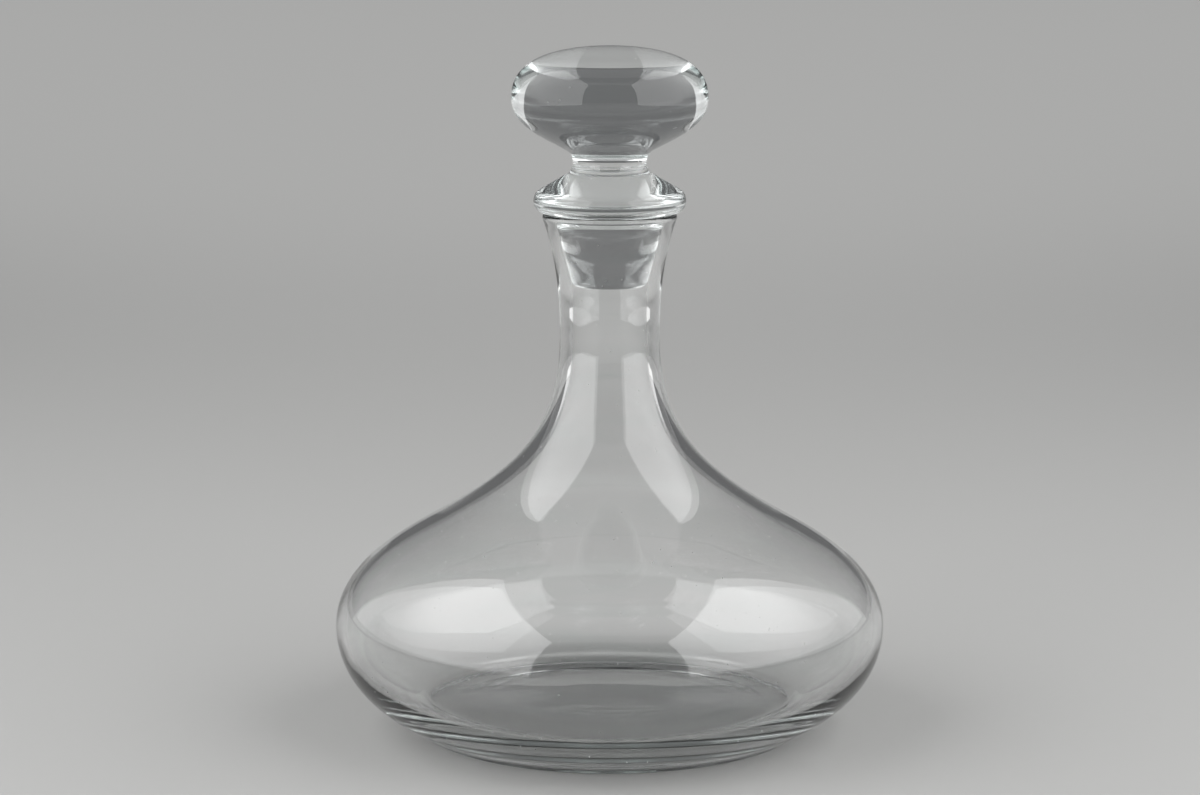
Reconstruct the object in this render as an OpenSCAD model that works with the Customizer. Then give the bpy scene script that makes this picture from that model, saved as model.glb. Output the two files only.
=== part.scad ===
// Ship's decanter: a broad, low vessel of clear blown glass with a flared neck, closed by a solid
// glass stopper. Both pieces are turned about the Z axis. The origin is on the table under the middle
// of the vessel, +Z is up, and lengths are in millimetres.

/* [Body] */
// Diameter at the widest line of the body
body_d = 200; // [170:1:220]
// Height of the widest line above the table
belly_h = 38; // [32:1:46]
// Outside diameter of the flat ring that stands on the table
foot_d = 137; // [110:1:150]
// Width of that flat ring
foot_ring_w = 10; // [4:0.5:20]
// Glass thickness over that ring
foot_ring_t = 5; // [3:0.5:9]
// Radius of the heel, between the foot and the side
heel_r = 5; // [2:0.5:8]
// Angle above the table at which the side leaves the heel
heel_angle = 42; // [30:1:55]
// Glass thickness at the end of the heel, square to the side
heel_t = 6; // [4:0.5:10]
// Radius inside the heel, between the side and the floor
inner_heel_r = 10; // [4:1:16]
// Diameter at the shoulder, where the swelling body turns into the sweep of the neck
shoulder_d = 122; // [100:1:140]
// Height of the shoulder above the table
shoulder_h = 78.5; // [70:0.5:90]
// Slope of the shoulder, from level
shoulder_slope = 31; // [20:1:40]
// Glass thickness at the belly and the shoulder
wall = 3.6; // [2.5:0.1:5]
// Glass thickness at the middle of the base
base_t = 6; // [4:0.5:12]
// Rise of the shallow hollow under the base
punt_h = 2; // [1:0.5:5]

/* [Neck] */
// Outside diameter at the narrowest part of the neck
neck_d = 36; // [32:0.5:42]
// Height of the narrowest part above the table
neck_h = 145; // [130:1:155]
// Glass thickness at the narrowest part
neck_wall = 4.6; // [3:0.1:6]
// Height of the rim above the table
mouth_h = 188; // [180:1:205]
// Inside diameter of the mouth, at the rim
mouth_d = 40.5; // [38:0.5:44]
// Width of the rim
rim_w = 4; // [3.2:0.1:6]
// Radius of the rim's outer edge
rim_edge_r = 1.5; // [0.5:0.1:1.8]
// Radius of the rim's inner edge, which the hollow above the plug repeats
mouth_edge_r = 1; // [0.3:0.1:1.2]
// Lean of the flare at the rim, out from upright
flare_lean = 20; // [10:1:28]

/* [Stopper] */
// Length of the plug below the rim
plug_len = 26; // [18:1:32]
// Diameter of the plug's lower end, at its sharp corner
plug_tip_d = 27.4; // [23:0.2:29]
// Radius of the plug's lower edge
plug_edge_r = 3; // [1:0.5:5]
// Gap between the plug and its seat, on each side
plug_gap = 0.4; // [0.3:0.05:0.8]
// How far the seat's taper runs on below the plug
seat_spare = 1; // [0.5:0.5:4]
// How far the flange overhangs the rim
flange_overhang = 3.2; // [2:0.1:6]
// Thickness of the flange's rounded edge
flange_edge_t = 9; // [6:0.5:10]
// Slope of the flange's top, from level
flange_slope = 30; // [20:1:40]
// Diameter of the waist between the flange and the knob
waist_d = 26.6; // [22:0.2:32]
// Straight length of the waist
waist_len = 0.8; // [0.2:0.1:8]
// Radius of the hollow between the flange and the waist
lower_cove_r = 4.5; // [2:0.5:6]
// Radius of the hollow between the waist and the knob
upper_cove_r = 4.5; // [1.5:0.5:5]
// Diameter of the knob
knob_d = 70.5; // [58:0.5:80]
// Height of the knob above the waist
knob_h = 38.4; // [32:0.2:46]
// Height of the knob's widest line above the waist
knob_belly_h = 20.3; // [16:0.1:24]
// Slope of the knob's underside where it leaves the waist
knob_slope = 30; // [20:1:40]

/* [Curves] */
// Pull at the two ends of the curve from the heel up to the belly
low_belly_pull = [0.12, 0.53]; // [0.05:0.01:0.8]
// Pull of the curve from the belly up to the shoulder
high_belly_pull = [0.356, 0.338]; // [0.1:0.01:0.6]
// Pull of the curve from the shoulder up to the neck
neck_pull = [0.475, 0.4]; // [0.1:0.01:0.6]
// Pull of the curve from the neck up to the rim
flare_pull = [0.48, 0.19]; // [0.1:0.01:0.6]
// Pull of the inside curve from the seat down to the neck
throat_pull = [0.2, 0.45]; // [0.1:0.01:0.6]
// Pull of the inside curve from the heel in to the middle of the floor
floor_pull = [0.4, 0.4]; // [0.05:0.01:0.85]
// Pull of the curve under the knob
knob_low_pull = [0.32, 0.39]; // [0.1:0.01:0.6]
// Pull of the curve over the knob
knob_high_pull = [0.4, 0.34]; // [0.1:0.01:0.6]

/* [Hidden] */

// Facets round a full turn, and steps along a curve, a small rounding and the hollow under the base
turn_steps = 144;
curve_steps = 16;
edge_steps = 6;
punt_steps = 8;

// Named points of the vessel's profile, as [radius, height]
foot_r = foot_d / 2;
punt_r = foot_r - foot_ring_w;
punt_sphere_r = (punt_r ^ 2 + punt_h ^ 2) / (2 * punt_h);
heel_middle = [foot_r, heel_r];
heel_end = heel_middle + heel_r * heading(heel_angle - 90);
belly = [body_d / 2, belly_h];
shoulder = [shoulder_d / 2, shoulder_h];
shoulder_heading = 180 - shoulder_slope;
neck = [neck_d / 2, neck_h];
mouth_r = mouth_d / 2;
rim_r = mouth_r + rim_w;
inner_belly = belly - [wall, 0];
inner_shoulder = shoulder - wall * heading(shoulder_heading - 90);
throat = neck - [neck_wall, 0];
inner_floor = [0, punt_h + base_t];

// Inside of the heel: a rounding between a line beside the outer side and a level line over the foot ring
inner_side = heel_end + heel_t * heading(heel_angle + 90);
inner_corner_r = inner_side[0] + (foot_ring_t - inner_side[1]) / tan(heel_angle);
inner_heel_middle = [
    inner_corner_r - edge_setback(inner_heel_r, 180 - heel_angle),
    foot_ring_t + inner_heel_r
];

// The plug's taper, which its seat in the mouth repeats
plug_top_r = mouth_r - plug_gap;
plug_tip_r = plug_tip_d / 2;
taper = atan((plug_top_r - plug_tip_r) / plug_len);
plug_bottom_h = mouth_h - plug_len;
seat_len = plug_len + seat_spare;
seat_end = [mouth_r - seat_len * tan(taper), mouth_h - seat_len];

// Named sizes of the stopper's profile
flange_r = rim_r + flange_overhang;
flange_edge_r = flange_edge_t / 2;
waist_r = waist_d / 2;
flange_edge_middle = [flange_r - flange_edge_r, mouth_h + flange_edge_r];
flange_crest = flange_edge_middle + flange_edge_r * heading(90 - flange_slope);
waist_foot_h = flange_crest[1] + (flange_crest[0] - waist_r) * tan(flange_slope);
waist_low_h = waist_foot_h + edge_setback(lower_cove_r, 90 + flange_slope);
waist_high_h = waist_low_h + waist_len;
knob_foot_h = waist_high_h + edge_setback(upper_cove_r, 90 + knob_slope);
knob_side = [knob_d / 2, knob_foot_h + knob_belly_h];
knob_top = [0, knob_foot_h + knob_h];

// Unit step in the profile at an angle from level
function heading(angle) = [cos(angle), sin(angle)];

// Distance from a sharp corner of the given angle to where a rounding of radius r begins
function edge_setback(r, corner_angle) = r / tan(corner_angle / 2);

// The same two pulls for a curve that is followed backwards
function swapped(pull) = [pull[1], pull[0]];

// Points of an arc about c
function arc(c, r, from, to, steps = edge_steps) =
    [for (i = [0:steps]) c + r * heading(from + (to - from) * i / steps)];

// Points between p and q on a smooth curve that leaves p at angle a and reaches q at angle b.
// The pulls are shares of the straight distance from p to q.
function sweep(p, a, q, b, pull) =
    let (
        reach = norm(q - p),
        p_handle = p + pull[0] * reach * heading(a),
        q_handle = q - pull[1] * reach * heading(b)
    )
    [for (i = [1:curve_steps - 1])
        let (t = i / curve_steps, s = 1 - t)
        s ^ 3 * p + 3 * s ^ 2 * t * p_handle + 3 * s * t ^ 2 * q_handle + t ^ 3 * q];

// The rounding between the level of the rim and the plug's taper, in a corner of radius r
function plug_corner(r, from, to) =
    let (setback = edge_setback(mouth_edge_r, 90 + taper))
    arc([r + setback, mouth_h - mouth_edge_r], mouth_edge_r, from, to);

// Outside of the vessel, from the foot ring up to the top of the rim
function vessel_outside() =
    let (rim = arc([rim_r - rim_edge_r, mouth_h - rim_edge_r], rim_edge_r, -flare_lean, 90))
    concat(
        arc(heel_middle, heel_r, -90, heel_angle - 90),
        sweep(heel_end, heel_angle, belly, 90, low_belly_pull),
        [belly],
        sweep(belly, 90, shoulder, shoulder_heading, high_belly_pull),
        [shoulder],
        sweep(shoulder, shoulder_heading, neck, 90, neck_pull),
        [neck],
        sweep(neck, 90, rim[0], 90 - flare_lean, flare_pull),
        rim
    );

// Inside of the vessel, from the mouth down to the middle of the floor
function vessel_inside() =
    let (inner_heel = arc(inner_heel_middle, inner_heel_r, heel_angle - 90, -90))
    concat(
        plug_corner(mouth_r, 90, 180 - taper),
        [seat_end],
        sweep(seat_end, 270 - taper, throat, 270, throat_pull),
        [throat],
        sweep(throat, 270, inner_shoulder, -shoulder_slope, swapped(neck_pull)),
        [inner_shoulder],
        sweep(inner_shoulder, -shoulder_slope, inner_belly, 270, swapped(high_belly_pull)),
        [inner_belly],
        sweep(inner_belly, 270, inner_heel[0], 180 + heel_angle, swapped(low_belly_pull)),
        inner_heel,
        sweep(inner_heel[edge_steps], 180, inner_floor, 180, floor_pull),
        [inner_floor]
    );

// Hollow under the base, from the middle out to the foot ring
function vessel_punt() =
    arc([0, punt_h - punt_sphere_r], punt_sphere_r, 90, 90 - asin(punt_r / punt_sphere_r), punt_steps);

// Profile of the stopper, from the middle of the plug's end up to the top of the knob
function stopper_profile() =
    let (
        setback = edge_setback(plug_edge_r, 90 + taper),
        knob_cove = arc([waist_r + upper_cove_r, waist_high_h], upper_cove_r, 180, 90 + knob_slope)
    )
    concat(
        [[0, plug_bottom_h]],
        arc([plug_tip_r - setback, plug_bottom_h + plug_edge_r], plug_edge_r, -90, -taper),
        plug_corner(plug_top_r, 180 - taper, 90),
        arc(flange_edge_middle, flange_edge_r, -90, 90 - flange_slope, 2 * edge_steps),
        arc([waist_r + lower_cove_r, waist_low_h], lower_cove_r, 270 - flange_slope, 180),
        knob_cove,
        sweep(knob_cove[edge_steps], knob_slope, knob_side, 90, knob_low_pull),
        [knob_side],
        sweep(knob_side, 90, knob_top, 180, knob_high_pull),
        [knob_top]
    );

// The blown vessel, one shell of glass from the foot ring to the rim
module vessel() {
    color([0.88, 0.93, 0.94, 0.35])
        rotate_extrude($fn = turn_steps)
            polygon(concat(vessel_outside(), vessel_inside(), vessel_punt()));
}

// The solid stopper, with its flange resting on the rim and its plug in the tapered seat
module stopper() {
    color([0.9, 0.94, 0.95, 0.45])
        rotate_extrude($fn = turn_steps)
            polygon(stopper_profile());
}

vessel();
stopper();
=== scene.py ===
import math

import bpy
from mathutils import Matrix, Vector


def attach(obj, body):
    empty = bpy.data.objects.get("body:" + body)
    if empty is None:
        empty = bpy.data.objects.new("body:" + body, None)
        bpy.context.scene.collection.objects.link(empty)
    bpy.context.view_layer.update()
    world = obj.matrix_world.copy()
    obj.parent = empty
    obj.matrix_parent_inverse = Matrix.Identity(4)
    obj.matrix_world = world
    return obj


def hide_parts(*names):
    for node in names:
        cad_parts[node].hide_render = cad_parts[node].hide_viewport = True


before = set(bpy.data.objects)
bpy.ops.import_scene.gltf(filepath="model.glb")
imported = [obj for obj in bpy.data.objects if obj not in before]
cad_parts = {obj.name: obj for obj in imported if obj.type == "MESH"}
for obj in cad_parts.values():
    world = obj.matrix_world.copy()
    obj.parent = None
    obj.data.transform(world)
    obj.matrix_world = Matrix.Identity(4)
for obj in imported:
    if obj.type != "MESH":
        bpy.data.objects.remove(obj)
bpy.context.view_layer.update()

# Ship's decanter of clear glass: a blown vessel and the solid stopper that closes it, on a pale
# studio floor. Lengths are in metres and angles in degrees, in the frame of the CAD part: Z is the
# axis that both pieces are turned about.

# Sizes of the vessel, as in the CAD part
BODY_D = 0.200
BELLY_H = 0.038
FOOT_D = 0.137
FOOT_RING_W = 0.010
FOOT_RING_T = 0.005
HEEL_R = 0.005
HEEL_ANGLE = 42
HEEL_T = 0.006
INNER_HEEL_R = 0.010
SHOULDER_D = 0.122
SHOULDER_H = 0.0785
SHOULDER_SLOPE = 31
WALL = 0.0036
BASE_T = 0.006
PUNT_H = 0.002
NECK_D = 0.036
NECK_H = 0.145
NECK_WALL = 0.0046
MOUTH_H = 0.188
MOUTH_D = 0.0405
RIM_W = 0.004
RIM_EDGE_R = 0.0015
MOUTH_EDGE_R = 0.001
FLARE_LEAN = 20

# Sizes of the stopper, as in the CAD part
PLUG_LEN = 0.026
PLUG_TIP_D = 0.0274
PLUG_EDGE_R = 0.003
PLUG_GAP = 0.0004
SEAT_SPARE = 0.001
FLANGE_OVERHANG = 0.0032
FLANGE_EDGE_T = 0.009
FLANGE_SLOPE = 30
WAIST_D = 0.0266
WAIST_LEN = 0.0008
LOWER_COVE_R = 0.0045
UPPER_COVE_R = 0.0045
KNOB_D = 0.0705
KNOB_H = 0.0384
KNOB_BELLY_H = 0.0203
KNOB_SLOPE = 30

# Pulls of the curves, as shares of the straight distance between their ends
LOW_BELLY_PULL = (0.12, 0.53)
HIGH_BELLY_PULL = (0.356, 0.338)
NECK_PULL = (0.475, 0.4)
FLARE_PULL = (0.48, 0.19)
THROAT_PULL = (0.2, 0.45)
FLOOR_PULL = (0.4, 0.4)
KNOB_LOW_PULL = (0.32, 0.39)
KNOB_HIGH_PULL = (0.4, 0.34)

# What the plug and its seat share
MOUTH_R = MOUTH_D / 2
RIM_R = MOUTH_R + RIM_W
PLUG_TOP_R = MOUTH_R - PLUG_GAP
PLUG_TIP_R = PLUG_TIP_D / 2
PLUG_BOTTOM_H = MOUTH_H - PLUG_LEN
TAPER = math.degrees(math.atan((PLUG_TOP_R - PLUG_TIP_R) / PLUG_LEN))

# Films of air where dry glass rests without wetting what it stands on: under the flange and under
# the foot
SEAT_FILM = 0.00006
FOOT_FILM = 0.0002

# Fineness of the meshes: steps round a turn, along a long curve, along a small rounding, along a
# straight stretch and along the short waist
TURN_STEPS = 200
CURVE_STEPS = 40
EDGE_STEPS = 10
FLAT_STEPS = 12
WAIST_STEPS = 4

# Making of the meshes: the size of the plane that a piece starts from, the distance below which two
# points are one, and the angle up to which an edge is smooth
START_SIZE = 0.01
MERGE_DISTANCE = 0.000002
SMOOTH_UP_TO = 40

# Glass: its refraction, the colour of its clear parts and of its faint streaks, and the tint that
# its thickness gives
GLASS_IOR = 1.52
CLEAR = (1, 1, 1, 1)
VESSEL_STREAK = (0.975, 0.99, 0.986, 1)
VESSEL_TINT = (0.86, 0.95, 0.93, 1)
STOPPER_STREAK = (0.98, 0.99, 0.99, 1)
STOPPER_TINT = (0.87, 0.95, 0.94, 1)
TINT_DENSITY = 4.0

# Patterns in the glass: clouds to a metre, levels of finer detail, and the strength of each level
WAVES = (32, 1, 0.5)
STREAKS = (16, 3, 0.6)
STOPPER_WAVES = (40, 1, 0.5)
SMEARS = (24, 4, 0.65)
SCUFFS = (220, 5, 0.7)

# The value of a pattern at which its mark begins to show, and the value at which it is full
STREAK_COLOUR_RANGE = (0.45, 0.7)
SMEAR_RANGE = (0.5, 0.75)
SCUFF_RANGE = (0.5, 0.65)

# Depths of the waves and streaks, how much finer the streaks are along Z than round it, and their
# twist in radians to a metre of height
WAVE_DEPTH = 0.00008
STOPPER_WAVE_DEPTH = 0.00003
STREAK_DEPTH = 0.00001
STREAK_STRETCH = (1, 1, 9)
STREAK_TWIST = 9

# Roughness of clean glass, of the faint smears from handling, of dust, and of the scuffs under the
# foot. The core is the share of a speck, or of the scuffed height, that has it in full.
POLISH = 0.0
SMEAR = 0.02
DUST_ROUGHNESS = 0.5
DUST_SPACING = 0.006
DUST_SIZE = 0.0006
DUST_CORE = 0.6
SCUFF = 0.2
SCUFF_HEIGHT = 0.0003
SCUFF_CORE = 0.2

# Sockets of a Mix node for colours, which share their names with its other sockets
MIX_FACTOR = 0
MIX_FIRST = 6
MIX_SECOND = 7
MIX_RESULT = 2

# Studio: the pale floor, and the dim and even light of the room
FLOOR_SIZE = 40
FLOOR_COLOUR = (0.47, 0.47, 0.463, 1)
FLOOR_ROUGHNESS = 0.9
FLOOR_SPECULAR = 0.1
ROOM_COLOUR = (0.13, 0.131, 0.133, 1)

# An upright softbox at each side, from in front of the decanter to behind it, and a dim one above.
# The glass mirrors an upright one from its low edge up. The foot below that only lights the floor.
SOFTBOX_X = 0.8
SOFTBOX_FRONT = -1.3
SOFTBOX_BACK = 0.7
SOFTBOX_LOW = 0.07
SOFTBOX_TOP = 1.9
SOFTBOX_BRIGHTNESS = 2.0
TOP_BRIGHTNESS = 0.3
SOFTBOX_W = SOFTBOX_BACK - SOFTBOX_FRONT
SOFTBOX_MIDDLE_Y = (SOFTBOX_FRONT + SOFTBOX_BACK) / 2

# An upright softbox fades backwards and downwards: the way it fades, where along that way the fade
# starts and ends, and the share of the brightness that is left
FADE_ALONG = (0, 1, -0.7)
FADE_START = -0.4
FADE_END = 0.3
FADED = 0.3

# Low, wide lamps over the far floor, in front and behind: their near and far ends, width and height
FLOOR_LIGHT_NEAR = 1.1
FLOOR_LIGHT_FAR = 8
FLOOR_LIGHT_W = 10
FLOOR_LIGHT_H = 0.8
FLOOR_LIGHT_BRIGHTNESS = 0.75

# The photograph's camera: its lens for a 36 mm sensor, how far it looks down, and where it stands
LENS_MM = 96
SENSOR_MM = 36
LOOK_DOWN = 9.8
CAMERA_AT = (-0.0035, -1.1425, 0.3181)

# Bounces of light: in all, through glass, and off it
ALL_BOUNCES = 32
THROUGH_BOUNCES = 32
MIRROR_BOUNCES = 16


def heading(angle):
    """Unit step in the profile at an angle from level, as (radius, height)."""
    return Vector((math.cos(math.radians(angle)), math.sin(math.radians(angle))))


def edge_setback(radius, corner_angle):
    """Distance from a sharp corner to where a rounding of that radius begins."""
    return radius / math.tan(math.radians(corner_angle) / 2)


def arc(middle, radius, start, end, steps=EDGE_STEPS):
    """Points of an arc about middle, both ends included."""
    turn = (end - start) / steps
    return [Vector(middle) + radius * heading(start + turn * i) for i in range(steps + 1)]


def sweep(p, a, q, b, pull, steps=CURVE_STEPS):
    """Points between p and q on a curve that leaves p at angle a and reaches q at angle b."""
    reach = (q - p).length
    p_handle = p + pull[0] * reach * heading(a)
    q_handle = q - pull[1] * reach * heading(b)
    found = []
    for i in range(1, steps):
        t = i / steps
        s = 1 - t
        found.append(s**3 * p + 3 * s**2 * t * p_handle + 3 * s * t**2 * q_handle + t**3 * q)
    return found


def straight(p, q, steps=FLAT_STEPS):
    """Points between p and q on a straight line, without its ends."""
    return [p + (q - p) * i / steps for i in range(1, steps)]


def swapped(pull):
    """The same pulls for a curve that is followed backwards."""
    return (pull[1], pull[0])


def plug_corner(radius, height, start, end):
    """The rounding between the rim's level and the plug's taper, in a corner at that place."""
    setback = edge_setback(MOUTH_EDGE_R, 90 + TAPER)
    return arc((radius + setback, height - MOUTH_EDGE_R), MOUTH_EDGE_R, start, end)


def vessel_outline():
    """Profile of the vessel: from the middle of its underside up the outside, over the rim and down
    the inside to the middle of its floor."""
    foot_r = FOOT_D / 2
    punt_r = foot_r - FOOT_RING_W
    punt_sphere_r = (punt_r**2 + PUNT_H**2) / (2 * PUNT_H)
    punt_angle = math.degrees(math.asin(punt_r / punt_sphere_r))
    punt_middle = (0, PUNT_H - punt_sphere_r)
    underside = arc(punt_middle, punt_sphere_r, 90, 90 - punt_angle, CURVE_STEPS)
    heel = arc((foot_r, HEEL_R), HEEL_R, -90, HEEL_ANGLE - 90)
    belly = Vector((BODY_D / 2, BELLY_H))
    shoulder = Vector((SHOULDER_D / 2, SHOULDER_H))
    neck = Vector((NECK_D / 2, NECK_H))
    rim = arc((RIM_R - RIM_EDGE_R, MOUTH_H - RIM_EDGE_R), RIM_EDGE_R, -FLARE_LEAN, 90)

    mouth = plug_corner(MOUTH_R, MOUTH_H, 90, 180 - TAPER)
    seat_len = PLUG_LEN + SEAT_SPARE
    seat_end_r = MOUTH_R - seat_len * math.tan(math.radians(TAPER))
    seat_end = Vector((seat_end_r, MOUTH_H - seat_len))
    throat = neck - Vector((NECK_WALL, 0))
    inner_shoulder = shoulder - WALL * heading(90 - SHOULDER_SLOPE)
    inner_belly = belly - Vector((WALL, 0))
    inner_side = heel[-1] + HEEL_T * heading(HEEL_ANGLE + 90)
    inner_rise = FOOT_RING_T - inner_side[1]
    inner_corner_r = inner_side[0] + inner_rise / math.tan(math.radians(HEEL_ANGLE))
    inner_heel_r = inner_corner_r - edge_setback(INNER_HEEL_R, 180 - HEEL_ANGLE)
    inner_heel_middle = (inner_heel_r, FOOT_RING_T + INNER_HEEL_R)
    inner_heel = arc(inner_heel_middle, INNER_HEEL_R, HEEL_ANGLE - 90, -90)
    floor_middle = Vector((0, PUNT_H + BASE_T))
    return [
        *underside,
        *straight(underside[-1], heel[0]),
        *heel,
        *sweep(heel[-1], HEEL_ANGLE, belly, 90, LOW_BELLY_PULL),
        belly,
        *sweep(belly, 90, shoulder, 180 - SHOULDER_SLOPE, HIGH_BELLY_PULL),
        shoulder,
        *sweep(shoulder, 180 - SHOULDER_SLOPE, neck, 90, NECK_PULL),
        neck,
        *sweep(neck, 90, rim[0], 90 - FLARE_LEAN, FLARE_PULL),
        *rim,
        *straight(rim[-1], mouth[0]),
        *mouth,
        *straight(mouth[-1], seat_end),
        seat_end,
        *sweep(seat_end, 270 - TAPER, throat, 270, THROAT_PULL),
        throat,
        *sweep(throat, 270, inner_shoulder, -SHOULDER_SLOPE, swapped(NECK_PULL)),
        inner_shoulder,
        *sweep(inner_shoulder, -SHOULDER_SLOPE, inner_belly, 270, swapped(HIGH_BELLY_PULL)),
        inner_belly,
        *sweep(inner_belly, 270, inner_heel[0], 180 + HEEL_ANGLE, swapped(LOW_BELLY_PULL)),
        *inner_heel,
        *sweep(inner_heel[-1], 180, floor_middle, 180, FLOOR_PULL),
        floor_middle,
    ]


def stopper_outline():
    """Profile of the stopper from the middle of the plug's end up to the top of the knob."""
    flange_edge_r = FLANGE_EDGE_T / 2
    flange_middle = Vector((RIM_R + FLANGE_OVERHANG - flange_edge_r, MOUTH_H + flange_edge_r))
    crest = flange_middle + flange_edge_r * heading(90 - FLANGE_SLOPE)
    waist_r = WAIST_D / 2
    waist_foot_h = crest[1] + (crest[0] - waist_r) * math.tan(math.radians(FLANGE_SLOPE))
    waist_low_h = waist_foot_h + edge_setback(LOWER_COVE_R, 90 + FLANGE_SLOPE)
    waist_high_h = waist_low_h + WAIST_LEN
    knob_foot_h = waist_high_h + edge_setback(UPPER_COVE_R, 90 + KNOB_SLOPE)

    plug_end = Vector((0, PLUG_BOTTOM_H))
    plug_edge_middle_r = PLUG_TIP_R - edge_setback(PLUG_EDGE_R, 90 + TAPER)
    plug_edge_middle = (plug_edge_middle_r, PLUG_BOTTOM_H + PLUG_EDGE_R)
    plug_edge = arc(plug_edge_middle, PLUG_EDGE_R, -90, -TAPER)
    underside_h = MOUTH_H + SEAT_FILM
    hollow_r = PLUG_TOP_R + SEAT_FILM * math.tan(math.radians(TAPER))
    hollow = plug_corner(hollow_r, underside_h, 180 - TAPER, 90)
    flange_edge = arc(flange_middle, flange_edge_r, -90, 90 - FLANGE_SLOPE, 2 * EDGE_STEPS)
    flange_edge[0][1] = underside_h
    lower_cove_middle = (waist_r + LOWER_COVE_R, waist_low_h)
    lower_cove = arc(lower_cove_middle, LOWER_COVE_R, 270 - FLANGE_SLOPE, 180)
    upper_cove_middle = (waist_r + UPPER_COVE_R, waist_high_h)
    upper_cove = arc(upper_cove_middle, UPPER_COVE_R, 180, 90 + KNOB_SLOPE)
    knob_side = Vector((KNOB_D / 2, knob_foot_h + KNOB_BELLY_H))
    knob_top = Vector((0, knob_foot_h + KNOB_H))
    return [
        plug_end,
        *straight(plug_end, plug_edge[0]),
        *plug_edge,
        *straight(plug_edge[-1], hollow[0]),
        *hollow,
        *straight(hollow[-1], flange_edge[0]),
        *flange_edge,
        *straight(flange_edge[-1], lower_cove[0]),
        *lower_cove,
        *straight(lower_cove[-1], upper_cove[0], WAIST_STEPS),
        *upper_cove,
        *sweep(upper_cove[-1], KNOB_SLOPE, knob_side, 90, KNOB_LOW_PULL),
        knob_side,
        *sweep(knob_side, 90, knob_top, 180, KNOB_HIGH_PULL),
        knob_top,
    ]


def lathe(name, outline):
    """Turns an outline of (radius, height) points about Z into a closed, smooth piece of glass."""
    bpy.ops.object.select_all(action="DESELECT")
    bpy.ops.mesh.primitive_plane_add(size=START_SIZE)
    piece = bpy.context.object
    piece.name = name
    bpy.ops.object.mode_set(mode="EDIT")
    bpy.ops.mesh.select_mode(type="VERT")
    bpy.ops.mesh.select_all(action="SELECT")
    bpy.ops.mesh.merge(type="CENTER")
    bpy.ops.transform.translate(value=(outline[0][0], 0, outline[0][1]))
    for here, there in zip(outline, outline[1:]):
        step = there - here
        bpy.ops.mesh.extrude_region_move(TRANSFORM_OT_translate={"value": (step[0], 0, step[1])})
    bpy.ops.mesh.select_all(action="SELECT")
    bpy.ops.mesh.spin(steps=TURN_STEPS, angle=math.tau, center=(0, 0, 0), axis=(0, 0, 1))
    bpy.ops.mesh.select_all(action="SELECT")
    bpy.ops.mesh.remove_doubles(threshold=MERGE_DISTANCE)
    bpy.ops.mesh.normals_make_consistent(inside=False)
    bpy.ops.object.mode_set(mode="OBJECT")
    bpy.ops.object.shade_smooth_by_angle(angle=math.radians(SMOOTH_UP_TO))
    return piece


def add_node(tree, kind, inputs=None, **settings):
    """Adds a shader node; an input takes a plain value or the output of another node."""
    node = tree.nodes.new(kind)
    for name, value in settings.items():
        setattr(node, name, value)
    for name, value in (inputs or {}).items():
        if isinstance(value, bpy.types.NodeSocket):
            tree.links.new(value, node.inputs[name])
        else:
            node.inputs[name].default_value = value
    return node


def math_node(tree, operation, first, second, third=0.0):
    """The output of one sum in a material."""
    inputs = {0: first, 1: second, 2: third}
    return add_node(tree, "ShaderNodeMath", inputs, operation=operation).outputs[0]


def smooth_step(tree, value, low, high, out_low=0.0, out_high=1.0):
    """A value that goes smoothly from out_low to out_high as the input goes from low to high."""
    inputs = {
        "Value": value, "From Min": low, "From Max": high, "To Min": out_low, "To Max": out_high
    }
    step = add_node(tree, "ShaderNodeMapRange", inputs, interpolation_type="SMOOTHSTEP")
    return step.outputs["Result"]


def noise(tree, place, clouds, detail, strength):
    """Cloudy values from 0 to 1, with that many clouds to a metre and finer detail in them."""
    inputs = {"Vector": place, "Scale": clouds, "Detail": detail, "Roughness": strength}
    return add_node(tree, "ShaderNodeTexNoise", inputs).outputs["Fac"]


def specks(tree, place, spacing, size, core):
    """Ones on sparse round specks up to that size, and zeros between them."""
    inputs = {"Vector": place, "Scale": 1 / spacing}
    distance = add_node(tree, "ShaderNodeTexVoronoi", inputs).outputs["Distance"]
    reach = size / 2 / spacing
    return smooth_step(tree, distance, core * reach, reach, 1.0, 0.0)


def uneven(tree, pattern, depth, under=None):
    """The direction of a surface that a pattern makes uneven to that depth, on top of another."""
    inputs = {"Height": pattern, "Distance": depth}
    if under is not None:
        inputs["Normal"] = under
    return add_node(tree, "ShaderNodeBump", inputs).outputs["Normal"]


def streak_colour(tree, pattern, colour):
    """The colour of clear glass with faint streaks where the pattern is high."""
    share = smooth_step(tree, pattern, *STREAK_COLOUR_RANGE)
    inputs = {MIX_FACTOR: share, MIX_FIRST: CLEAR, MIX_SECOND: colour}
    return add_node(tree, "ShaderNodeMix", inputs, data_type="RGBA").outputs[MIX_RESULT]


def handled(tree, place):
    """Roughness of polished glass with faint smears from handling and a few specks of dust."""
    smears = smooth_step(tree, noise(tree, place, *SMEARS), *SMEAR_RANGE, POLISH, SMEAR)
    dust = specks(tree, place, DUST_SPACING, DUST_SIZE, DUST_CORE)
    return math_node(tree, "MULTIPLY_ADD", dust, DUST_ROUGHNESS, smears)


def scuffed(tree, place, height):
    """Roughness of the scuffs on the standing ring, and none above it."""
    scuffs = smooth_step(tree, noise(tree, place, *SCUFFS), *SCUFF_RANGE, POLISH, SCUFF)
    standing = smooth_step(tree, height, SCUFF_CORE * SCUFF_HEIGHT, SCUFF_HEIGHT, 1.0, 0.0)
    return math_node(tree, "MULTIPLY", scuffs, standing)


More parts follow.
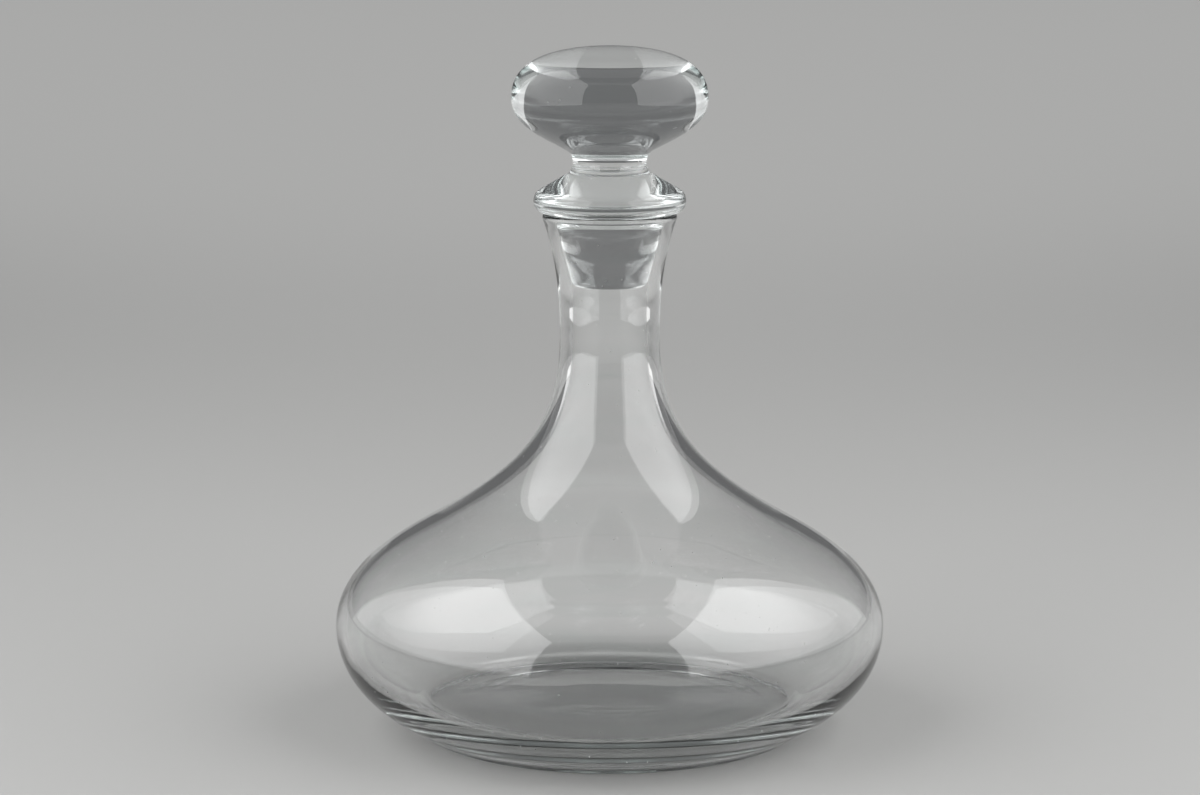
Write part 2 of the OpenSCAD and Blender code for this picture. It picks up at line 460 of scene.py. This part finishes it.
def drawn_streaks(tree, place, height):
    """The pattern of streaks drawn out round the vessel as the glass was turned."""
    inputs = {"Vector": place, "Angle": math_node(tree, "MULTIPLY", height, STREAK_TWIST)}
    turned = add_node(tree, "ShaderNodeVectorRotate", inputs, rotation_type="Z_AXIS")
    inputs = {"Vector": turned.outputs["Vector"], "Scale": STREAK_STRETCH}
    drawn = add_node(tree, "ShaderNodeMapping", inputs)
    return noise(tree, drawn.outputs["Vector"], *STREAKS)


def polished_glass(name, tint):
    """Clear glass with the faint tint of its thickness, and its plain values on the shader."""
    material = bpy.data.materials.new(name)
    material.use_nodes = True
    tree = material.node_tree
    shader = tree.nodes["Principled BSDF"]
    shader.inputs["IOR"].default_value = GLASS_IOR
    shader.inputs["Transmission Weight"].default_value = 1.0
    depth = add_node(tree, "ShaderNodeVolumeAbsorption", {"Color": tint, "Density": TINT_DENSITY})
    tree.links.new(depth.outputs["Volume"], tree.nodes["Material Output"].inputs["Volume"])
    return material, tree, shader


def blown_glass():
    """The vessel's glass: slow waves from the blowing, fine drawn streaks, faint smears, a little
    dust and a scuffed standing ring."""
    material, tree, shader = polished_glass("blown_clear_glass", VESSEL_TINT)
    place = add_node(tree, "ShaderNodeTexCoord").outputs["Object"]
    height = add_node(tree, "ShaderNodeSeparateXYZ", {"Vector": place}).outputs["Z"]
    streaks = drawn_streaks(tree, place, height)
    wavy = uneven(tree, noise(tree, place, *WAVES), WAVE_DEPTH)
    streaky = uneven(tree, streaks, STREAK_DEPTH, wavy)
    roughness = math_node(tree, "MAXIMUM", handled(tree, place), scuffed(tree, place, height))
    tree.links.new(streak_colour(tree, streaks, VESSEL_STREAK), shader.inputs["Base Color"])
    tree.links.new(streaky, shader.inputs["Normal"])
    tree.links.new(roughness, shader.inputs["Roughness"])
    return material


def pressed_glass():
    """The stopper's glass: solid and polished, with slight waves, faint streaks, faint smears and a
    little dust."""
    material, tree, shader = polished_glass("solid_clear_glass", STOPPER_TINT)
    place = add_node(tree, "ShaderNodeTexCoord").outputs["Object"]
    waves = noise(tree, place, *STOPPER_WAVES)
    tree.links.new(streak_colour(tree, waves, STOPPER_STREAK), shader.inputs["Base Color"])
    tree.links.new(uneven(tree, waves, STOPPER_WAVE_DEPTH), shader.inputs["Normal"])
    tree.links.new(handled(tree, place), shader.inputs["Roughness"])
    return material


def panel_lamp(name, middle, facing, width, height, brightness):
    """A flat lamp of that brightness, which the camera doesn't see."""
    data = bpy.data.lights.new(name, "AREA")
    data.shape = "RECTANGLE"
    data.size = width
    data.size_y = height
    data.energy = brightness * math.pi * width * height
    lamp = bpy.data.objects.new(name, data)
    lamp.location = middle
    lamp.rotation_euler = Vector(facing).to_track_quat("-Z", "Y").to_euler()
    lamp.visible_camera = False
    bpy.context.scene.collection.objects.link(lamp)
    return lamp


def hide_from_glass(lamp):
    """Keeps a lamp's light on the floor, and the lamp out of what the glass mirrors and shows."""
    lamp.visible_glossy = False
    lamp.visible_transmission = False


def softbox_panel(name, side, facing, low, top):
    """A part of a softbox's face between two heights, which fades backwards and downwards."""
    middle = (side * SOFTBOX_X, SOFTBOX_MIDDLE_Y, (low + top) / 2)
    lamp = panel_lamp(name, middle, (facing, 0, 0), SOFTBOX_W, top - low, SOFTBOX_BRIGHTNESS)
    lamp.data.use_nodes = True
    tree = lamp.data.node_tree
    place = add_node(tree, "ShaderNodeNewGeometry").outputs["Position"]
    inputs = {0: place, 1: FADE_ALONG}
    along = add_node(tree, "ShaderNodeVectorMath", inputs, operation="DOT_PRODUCT").outputs["Value"]
    glow = smooth_step(tree, along, FADE_START, FADE_END, 1.0, FADED)
    tree.links.new(glow, tree.nodes["Emission"].inputs["Strength"])
    return lamp


def softbox_face(name, side, facing):
    """One face of an upright softbox, and its foot, which only lights the floor below."""
    softbox_panel(name, side, facing, SOFTBOX_LOW, SOFTBOX_TOP)
    hide_from_glass(softbox_panel(name + "_foot", side, facing, 0, SOFTBOX_LOW))


def upright_softbox(name, side):
    """A tall upright softbox with a face towards the decanter and one away from it."""
    softbox_face(name, side, -side)
    softbox_face(name + "_back", side, side)


def top_softbox():
    """A dim softbox overhead, between the upright ones."""
    middle = (0, SOFTBOX_MIDDLE_Y, SOFTBOX_TOP)
    panel_lamp("top_softbox", middle, (0, 0, -1), 2 * SOFTBOX_X, SOFTBOX_W, TOP_BRIGHTNESS)


def floor_light(name, side):
    """A wide lamp that keeps the far floor pale on one side and isn't mirrored in the glass."""
    middle = (0, side * (FLOOR_LIGHT_NEAR + FLOOR_LIGHT_FAR) / 2, FLOOR_LIGHT_H)
    depth = FLOOR_LIGHT_FAR - FLOOR_LIGHT_NEAR
    lamp = panel_lamp(name, middle, (0, 0, -1), FLOOR_LIGHT_W, depth, FLOOR_LIGHT_BRIGHTNESS)
    hide_from_glass(lamp)


def pale_floor():
    """The wide painted floor that the decanter stands on."""
    bpy.ops.object.select_all(action="DESELECT")
    bpy.ops.mesh.primitive_plane_add(size=FLOOR_SIZE, location=(0, 0, -FOOT_FILM))
    floor = bpy.context.object
    floor.name = "studio_floor"
    paint = bpy.data.materials.new("pale_floor_paint")
    paint.use_nodes = True
    shader = paint.node_tree.nodes["Principled BSDF"]
    shader.inputs["Base Color"].default_value = FLOOR_COLOUR
    shader.inputs["Roughness"].default_value = FLOOR_ROUGHNESS
    shader.inputs["Specular IOR Level"].default_value = FLOOR_SPECULAR
    floor.data.materials.append(paint)


def room_light():
    """The even light of the room."""
    world = bpy.data.worlds.new("studio_room")
    bpy.context.scene.world = world
    world.use_nodes = True
    world.node_tree.nodes["Background"].inputs["Color"].default_value = ROOM_COLOUR


def photo_camera():
    """The camera where the photograph was taken from."""
    data = bpy.data.cameras.new("photo_camera")
    data.sensor_width = SENSOR_MM
    data.lens = LENS_MM
    camera = bpy.data.objects.new("photo_camera", data)
    camera.location = CAMERA_AT
    camera.rotation_euler = (math.radians(90 - LOOK_DOWN), 0, 0)
    bpy.context.scene.collection.objects.link(camera)
    bpy.context.scene.camera = camera


def light_paths():
    """Enough bounces for light to find its way through thick glass."""
    cycles = bpy.context.scene.cycles
    cycles.max_bounces = ALL_BOUNCES
    cycles.transmission_bounces = THROUGH_BOUNCES
    cycles.glossy_bounces = MIRROR_BOUNCES


vessel = lathe("blown_vessel", vessel_outline())
vessel.data.materials.append(blown_glass())
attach(vessel, "vessel")
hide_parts("vessel")

stopper = lathe("solid_stopper", stopper_outline())
stopper.data.materials.append(pressed_glass())
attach(stopper, "stopper")
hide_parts("stopper")

pale_floor()
upright_softbox("left_softbox", -1)
upright_softbox("right_softbox", 1)
top_softbox()
floor_light("back_floor_light", 1)
floor_light("front_floor_light", -1)
room_light()
photo_camera()
light_paths()
bpy.context.scene.view_settings.view_transform = "Standard"
